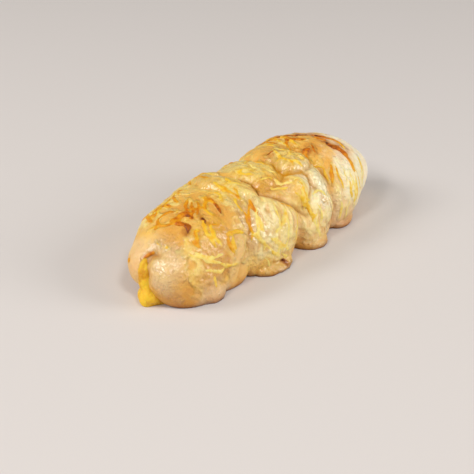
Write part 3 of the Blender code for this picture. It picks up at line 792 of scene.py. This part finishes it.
def roll_mesh():
    """The plaited roll's crust, with the shares of its colours at each point, painted shade and painted
    light among them.
    """
    mesh = plain_loaf()
    plain = vertex_points(mesh)
    unevenness = waves(plain, PATCH_WAVE_SIZE) + PATCH_RIPPLE * waves(plain + 1, PATCH_RIPPLE_SIZE)
    film = patch_cover(plain, FILM, unevenness)
    relief = FILM_RELIEF * film * (1 + waves(plain, FILM_RELIEF_SIZE)) - FILM_SINK * film
    relief += GRAIN_HEIGHT * (DOUGH_GRAIN + film) * waves(plain, GRAIN_SIZE)
    ridge, gap = melted_ridges(plain)
    relief += RIDGE_HEIGHT * ridge
    crease, valley = crease_depth(plain, CREASES), crease_depth(plain, VALLEYS)
    height = plait_height(plain) + LUMP_HEIGHT * waves(plain, LUMP_SIZE) + relief
    height -= np.maximum(crease, valley)
    points = plain + vertex_normals(mesh) * height[:, None]
    spread_feet(points, spine_bend(plain[:, 0]))
    points[:, 2] = np.maximum(points[:, 2], 0)
    set_points(mesh, points)
    set_values(mesh, "film", film)
    # The pale patches hold painted light as well as pale dough
    places = {"rich": RICH, "pale_and_lit": PALE_AND_LIT, "golden": GOLDEN, "scorched": SCORCHED, "wet": WET}
    for name, patches in places.items():
        set_values(mesh, name, patch_cover(plain, patches, unevenness))
    set_values(mesh, "ridge", ridge)
    set_values(mesh, "gap", gap)
    # Painted shade in the creases, in their deepest clefts and in the valleys
    set_values(mesh, "crease", (crease / CREASE_DARKEST) ** 2)
    set_values(mesh, "cleft_shadow", (crease / CREASE_DARKEST) ** CLEFT_SHADOW_SHARPNESS)
    set_values(mesh, "valley", (valley / VALLEY_DARKEST) ** 2)
    set_values(mesh, "foot", np.exp(-points[:, 2] / FOOT_BROWN_HEIGHT))
    # A band of painted contact shadow and burnt edge along the lowest crust
    set_values(mesh, "burnt_rim_and_shadow", np.exp(-points[:, 2] / BURNT_RIM_AND_SHADOW_HEIGHT))
    return mesh


def cheese_mesh():
    """The pool of melted cheese at the near fold, and the cheese in that fold."""
    bm = bmesh.new()
    for ball in CHEESE_BALLS + FOLD_BALLS:
        made = bmesh.ops.create_icosphere(bm, subdivisions=BALL_SUBDIVISIONS, radius=1)
        for vertex in made["verts"]:
            x, y, z = vertex.co
            vertex.co = Vector((ball.x + x * ball.along, ball.y + y * ball.across, ball.z + z * ball.high))
    mesh = remeshed(bm, "cheese", CHEESE_VOXEL, CHEESE_SMOOTHING)
    points = vertex_points(mesh)
    uneven = waves(points, CHEESE_LUMP_SIZE) * CHEESE_LUMP
    points += vertex_normals(mesh) * uneven[:, None]
    points[:, 2] = np.maximum(points[:, 2], 0)
    set_points(mesh, points)
    return mesh


class Shader:
    """A material's nodes, added one by one and linked by name."""

    def __init__(self, name):
        self.material = bpy.data.materials.new(name)
        self.material.use_nodes = True
        self.tree = self.material.node_tree
        self.surface = self.tree.nodes["Principled BSDF"]

    def add(self, kind, **settings):
        node = self.tree.nodes.new(kind)
        for name, value in settings.items():
            setattr(node, name, value)
        return node

    def link(self, source, target):
        self.tree.links.new(source, target)

    def value(self, name):
        """The number per vertex kept under this name."""
        return self.add("ShaderNodeAttribute", attribute_name=name).outputs["Fac"]

    def noise(self, scale, detail=3.0, roughness=0.55, stretch=(1, 1, 1)):
        """Fractal noise fixed to the bread, with its scale per metre."""
        place = self.add("ShaderNodeTexCoord").outputs["Object"]
        mapping = self.add("ShaderNodeMapping")
        mapping.inputs["Scale"].default_value = stretch
        self.link(place, mapping.inputs["Vector"])
        node = self.add("ShaderNodeTexNoise")
        node.inputs["Scale"].default_value = scale
        node.inputs["Detail"].default_value = detail
        node.inputs["Roughness"].default_value = roughness
        self.link(mapping.outputs["Vector"], node.inputs["Vector"])
        return node.outputs["Fac"]

    def between(self, value, low, high, out_low=0.0, out_high=1.0):
        """The value stretched from one range to another, and kept within it."""
        node = self.add("ShaderNodeMapRange")
        limits = {"From Min": low, "From Max": high, "To Min": out_low, "To Max": out_high}
        for name, number in limits.items():
            node.inputs[name].default_value = number
        self.link(value, node.inputs["Value"])
        return node.outputs["Result"]

    def math(self, kind, a, b):
        """The result of one math operation on sockets or numbers."""
        node = self.add("ShaderNodeMath", operation=kind)
        for socket, term in zip(node.inputs, (a, b)):
            if isinstance(term, (int, float)):
                socket.default_value = term
            else:
                self.link(term, socket)
        return node.outputs["Value"]

    def mix(self, share, a, b):
        """Colour a turned into colour b by a share."""
        node = self.add("ShaderNodeMix", data_type="RGBA")
        self.link(share, node.inputs[0])
        for socket, colour in ((node.inputs[6], a), (node.inputs[7], b)):
            if isinstance(colour, tuple):
                socket.default_value = colour
            else:
                self.link(colour, socket)
        return node.outputs[2]

    def bump(self, height, distance, strength, below=None):
        """A normal bent by a height, on top of another bump where one is given."""
        node = self.add("ShaderNodeBump")
        node.inputs["Strength"].default_value = strength
        node.inputs["Distance"].default_value = distance
        self.link(height, node.inputs["Height"])
        if below is not None:
            self.link(below, node.inputs["Normal"])
        return node.outputs["Normal"]

    def ramp(self, value, stops):
        """The value as a colour from the given stops, each a place and a display colour."""
        node = self.add("ShaderNodeValToRGB")
        elements = node.color_ramp.elements
        while len(elements) < len(stops):
            elements.new(0.5)
        for element, (place, display) in zip(elements, stops):
            element.position = place
            element.color = linear(display)
        self.link(value, node.inputs["Fac"])
        return node.outputs["Color"]


def set_translucency(shader, weight, depth):
    """Lets light into the surface, redder the deeper it goes."""
    shader.surface.inputs["Subsurface Weight"].default_value = weight
    shader.surface.inputs["Subsurface Radius"].default_value = (1.0, 0.55, 0.22)
    shader.surface.inputs["Subsurface Scale"].default_value = depth


def dough_colour(s, mottle):
    """Crust without cheese, from pale through yellow to golden, the pale patches carrying painted light as
    well.
    """
    dough = s.mix(s.between(mottle, 0.35, 0.7), linear(DOUGH), linear(DOUGH_GOLDEN))
    golden = s.math("MULTIPLY", s.value("golden"), s.between(s.noise(110, 3), 0.3, 0.6, 0.5, 1.0))
    dough = s.mix(golden, dough, linear(DOUGH_GOLDEN))
    # Pale dough, with painted light on the ends, the near lobe and its nub
    pale_and_lit = s.math("MULTIPLY", s.value("pale_and_lit"), s.between(s.noise(70, 4), 0.35, 0.6, 0.75, 1.0))
    return s.mix(pale_and_lit, dough, linear(DOUGH_PALE))


def film_colour(s):
    """Melted cheese, paler on its ridges as a painted highlight and deeper in the gaps between them as
    painted shade.
    """
    streaks = s.noise(300, 5, 0.65, (1, 1, 0.6))
    yellow = s.math("ADD", s.between(streaks, 0.38, 0.66), s.math("MULTIPLY", s.value("halo"), 0.4))
    # Painted highlight: the ridges' crests made paler
    yellow = s.math("SUBTRACT", yellow, s.math("MULTIPLY", s.value("ridge"), 0.6))
    # The pale patches, with their painted light, also pale the film
    yellow = s.math("SUBTRACT", yellow, s.math("MULTIPLY", s.value("pale_and_lit"), 0.6))
    cheese = s.mix(s.between(yellow, 0, 1), linear(FILM_PALE), linear(FILM_YELLOW))
    cheese = s.mix(s.math("MULTIPLY", s.value("rich"), 0.8), cheese, linear(FILM_DEEP))
    cheese = s.mix(s.math("MULTIPLY", s.value("pale_and_lit"), 0.5), cheese, linear(DOUGH_PALE))
    # Painted shade: a deeper yellow in the gaps beside the ridges
    gap = s.math("MULTIPLY", s.between(s.value("gap"), 0.35, 0.85), 0.55)
    return s.mix(gap, cheese, linear(FILM_GAP_SHADE))


def film_share(s):
    """How much of the film covers the dough, with broken edges."""
    broken = s.between(s.noise(260, 3), 0.3, 0.7, -0.25, 0.25)
    cover = s.math("ADD", s.value("film"), s.math("MULTIPLY", s.value("ridge"), 0.4))
    return s.between(s.math("ADD", cover, broken), 0.25, 0.75)


def browned(s, colour, mottle):
    """A colour darkened with painted shade in valleys and creases and a painted contact shadow with the
    burnt edge at the lowest crust, and browned at the foot, beside brown shreds and where it scorched.
    """
    # Painted shade in the valleys between the mounds
    colour = s.mix(s.math("MULTIPLY", s.value("valley"), 0.85), colour, linear(VALLEY_SHADE_TONE))
    # Painted shade in the creases, and a darker painted shadow in their deepest clefts
    colour = s.mix(s.math("MULTIPLY", s.value("crease"), 0.55), colour, linear(TOASTED))
    colour = s.mix(s.math("MULTIPLY", s.value("cleft_shadow"), 0.95), colour, linear(CLEFT_SHADOW_TONE))
    foot = s.math("MULTIPLY", s.value("foot"), s.between(mottle, 0.3, 0.7, 0.5, 1.0))
    colour = s.mix(foot, colour, linear(TOASTED))
    # Painted contact shadow, with the burnt edge, along the lowest crust
    colour = s.mix(s.value("burnt_rim_and_shadow"), colour, linear(BURNT_RIM_AND_SHADOW_TONE))
    toast = s.math("MULTIPLY", s.value("toast"), s.between(s.noise(300, 2), 0.3, 0.6, 0.5, 1.0))
    colour = s.mix(toast, colour, linear(TOASTED))
    scorch = s.math("MULTIPLY", s.value("scorched"), s.between(s.noise(240, 3), 0.35, 0.6, 0.3, 1.0))
    colour = s.mix(scorch, colour, linear(TOASTED))
    return s.mix(s.math("POWER", scorch, 2.0), colour, linear(SCORCH))


def crust_material():
    """Dough under a film of melted cheese, pimpled and glossy where it is wet."""
    s = Shader("crust")
    mottle, film, wet = s.noise(60, 4), film_share(s), s.value("wet")
    dough = dough_colour(s, mottle)
    colour = s.mix(s.math("MULTIPLY", film, 0.9), dough, film_colour(s))
    s.link(browned(s, colour, mottle), s.surface.inputs["Base Color"])
    s.link(s.between(film, 0, 1, 0.46, 0.34), s.surface.inputs["Roughness"])
    # Painted shade on the reflections: specular and coat turned down in creases and valleys
    dent = s.math("MAXIMUM", s.value("crease"), s.value("valley"))
    s.link(s.between(dent, 0, 1, 0.30, 0.0), s.surface.inputs["Specular IOR Level"])
    pimples = s.math("MULTIPLY", s.noise(420, 3, 0.6), s.between(wet, 0, 1, 0.50, 1.9))
    skin = s.bump(s.noise(900, 4, 0.65), 0.0005, 0.55)
    skin = s.bump(s.math("MULTIPLY", s.noise(190, 2, 0.5), film), 0.0022, 0.80, skin)
    skin = s.bump(pimples, 0.0016, 0.90, skin)
    s.link(skin, s.surface.inputs["Normal"])
    s.link(s.bump(s.noise(500, 2), 0.0010, 1.0), s.surface.inputs["Coat Normal"])
    gloss = s.math("ADD", s.math("MULTIPLY", wet, 0.90), s.between(film, 0, 1, 0.03, 0.20))
    s.link(s.math("MULTIPLY", gloss, s.between(dent, 0, 1, 1.0, 0.0)), s.surface.inputs["Coat Weight"])
    s.surface.inputs["Coat Roughness"].default_value = 0.075
    s.surface.inputs["Coat IOR"].default_value = 1.9
    set_translucency(s, 0.20, 0.0015)
    return s.material


def shred_material():
    """Baked cheese, from pale yellow to burnt by each shred's tone."""
    s = Shader("baked_shreds")
    uneven = s.between(s.noise(420, 3), 0.3, 0.7, -0.15, 0.15)
    colour = s.ramp(s.math("ADD", s.value("tone"), uneven), SHRED_TONES)
    s.link(colour, s.surface.inputs["Base Color"])
    s.surface.inputs["Roughness"].default_value = 0.40
    s.surface.inputs["Specular IOR Level"].default_value = 0.22
    s.link(s.bump(s.noise(700, 3), 0.0005, 0.5), s.surface.inputs["Normal"])
    set_translucency(s, 0.25, 0.002)
    return s.material


def pool_material():
    """Soft yellow cheese with a finely uneven skin."""
    s = Shader("melted_pool")
    colour = s.mix(s.between(s.noise(160, 4), 0.35, 0.65), linear(POOL_YELLOW), linear(POOL_DEEP))
    s.link(colour, s.surface.inputs["Base Color"])
    s.surface.inputs["Roughness"].default_value = 0.50
    s.link(s.bump(s.noise(600, 5, 0.65), 0.0010, 0.8), s.surface.inputs["Normal"])
    set_translucency(s, 0.35, 0.003)
    return s.material


def floor_material():
    s = Shader("floor")
    s.surface.inputs["Base Color"].default_value = linear(FLOOR_TONE)
    s.surface.inputs["Roughness"].default_value = 0.9
    return s.material


def dress(thing, material):
    """Gives a piece its material and slot, and lets it move with the bread."""
    thing.data.materials.clear()
    thing.data.materials.append(material)
    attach(thing, "root")


def middle_of(corners):
    """The middle of a box over the floor, at floor level."""
    return (np.array(corners[0]) + np.array(corners[1])) / 2 * (1, 1, 0)


def mark_beside_shreds(mesh, middles, tones):
    """Spreads some film round every shred, and browns the crust beside the darker ones."""
    gap, tone = nearest_tones(vertex_points(mesh), middles, tones)
    halo = np.exp(-((gap / HALO_WIDTH) ** 2))
    film = mesh.attributes["film"]
    own = np.empty(len(mesh.vertices), np.float32)
    film.data.foreach_get("value", own)
    film.data.foreach_set("value", np.maximum(own, HALO_FILM * halo).astype(np.float32))
    low, high = TOASTING_TONES
    set_values(mesh, "halo", halo)
    set_values(mesh, "toast", HALO_BROWN * halo * np.clip((tone - low) / (high - low), 0, 1))


def finish_shreds(strands, crust, middles, tones):
    """Keeps the shreds over the floor and off the very top, and sets their tones, paler at the edge."""
    points = vertex_points(strands)
    points[:, 2] = np.clip(points[:, 2], 0, SHRED_CEILING)
    set_points(strands, points)
    rise = np.array([crust.find_nearest(Vector(point))[3] for point in points])
    edge = EDGE_TONE * (1 - np.clip(rise / EDGE_HEIGHT, 0, 1))
    set_values(strands, "tone", nearest_tones(points, middles, tones)[1] + edge)


def add_bread():
    """The crust, its shreds and the pool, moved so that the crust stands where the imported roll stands."""
    mesh = roll_mesh()
    points = vertex_points(mesh)
    shift = middle_of(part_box("roll")) - middle_of((points.min(axis=0), points.max(axis=0)))
    set_points(mesh, points + shift)
    corners = [Vector(point) for point in vertex_points(mesh)]
    crust = BVHTree.FromPolygons(corners, [polygon.vertices for polygon in mesh.polygons])
    strands, middles, tones = shred_mesh(crust, shift)
    mark_beside_shreds(mesh, middles, tones)
    finish_shreds(strands, crust, middles, tones)
    roll = add_object("crust", mesh)
    shreds = add_object("baked_shreds", strands)
    pool_mesh = cheese_mesh()
    set_points(pool_mesh, vertex_points(pool_mesh) + shift)
    pool = add_object("melted_pool", pool_mesh)
    dress(roll, crust_material())
    dress(shreds, shred_material())
    dress(pool, pool_material())
    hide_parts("roll")
    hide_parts("melted_cheese")


def add_floor():
    bpy.ops.mesh.primitive_plane_add(size=FLOOR_SIZE)
    floor = bpy.context.object
    floor.name = "floor"
    floor.data.materials.append(floor_material())


def view_axes():
    """The directions back to the camera, to its right, and over the floor towards it."""
    a, e = math.radians(AZIMUTH), math.radians(ELEVATION)
    back = Vector((math.sin(a) * math.cos(e), -math.cos(a) * math.cos(e), math.sin(e)))
    return back, Vector((math.cos(a), math.sin(a), 0)), Vector((math.sin(a), -math.cos(a), 0))


def add_camera():
    back, _, _ = view_axes()
    camera = bpy.data.objects.new("camera", bpy.data.cameras.new("camera"))
    camera.data.lens = LENS
    camera.location = Vector(AIM) + back * DISTANCE
    camera.rotation_mode = "QUATERNION"
    camera.rotation_quaternion = (-back).to_track_quat("-Z", "Y")
    bpy.context.scene.collection.objects.link(camera)
    bpy.context.scene.camera = camera


def add_light(spec):
    """A square soft light, placed as seen from the camera and aimed at the bread."""
    _, right, front = view_axes()
    light = bpy.data.objects.new(spec.name, bpy.data.lights.new(spec.name, "AREA"))
    light.data.energy, light.data.size = spec.power, spec.size
    light.location = right * spec.rightwards + front * spec.frontwards + Vector((0, 0, spec.up))
    light.rotation_mode = "QUATERNION"
    light.rotation_quaternion = light.location.to_track_quat("Z", "Y")
    bpy.context.scene.collection.objects.link(light)


def add_sky():
    """Faint white light from all round."""
    world = bpy.data.worlds.new("world")
    world.use_nodes = True
    background = world.node_tree.nodes["Background"]
    background.inputs["Color"].default_value = (1, 1, 1, 1)
    background.inputs["Strength"].default_value = SKY_STRENGTH
    bpy.context.scene.world = world


bpy.context.scene.view_settings.view_transform = "Standard"
add_camera()
add_floor()
for spec in LIGHTS:
    add_light(spec)
add_sky()
add_bread()
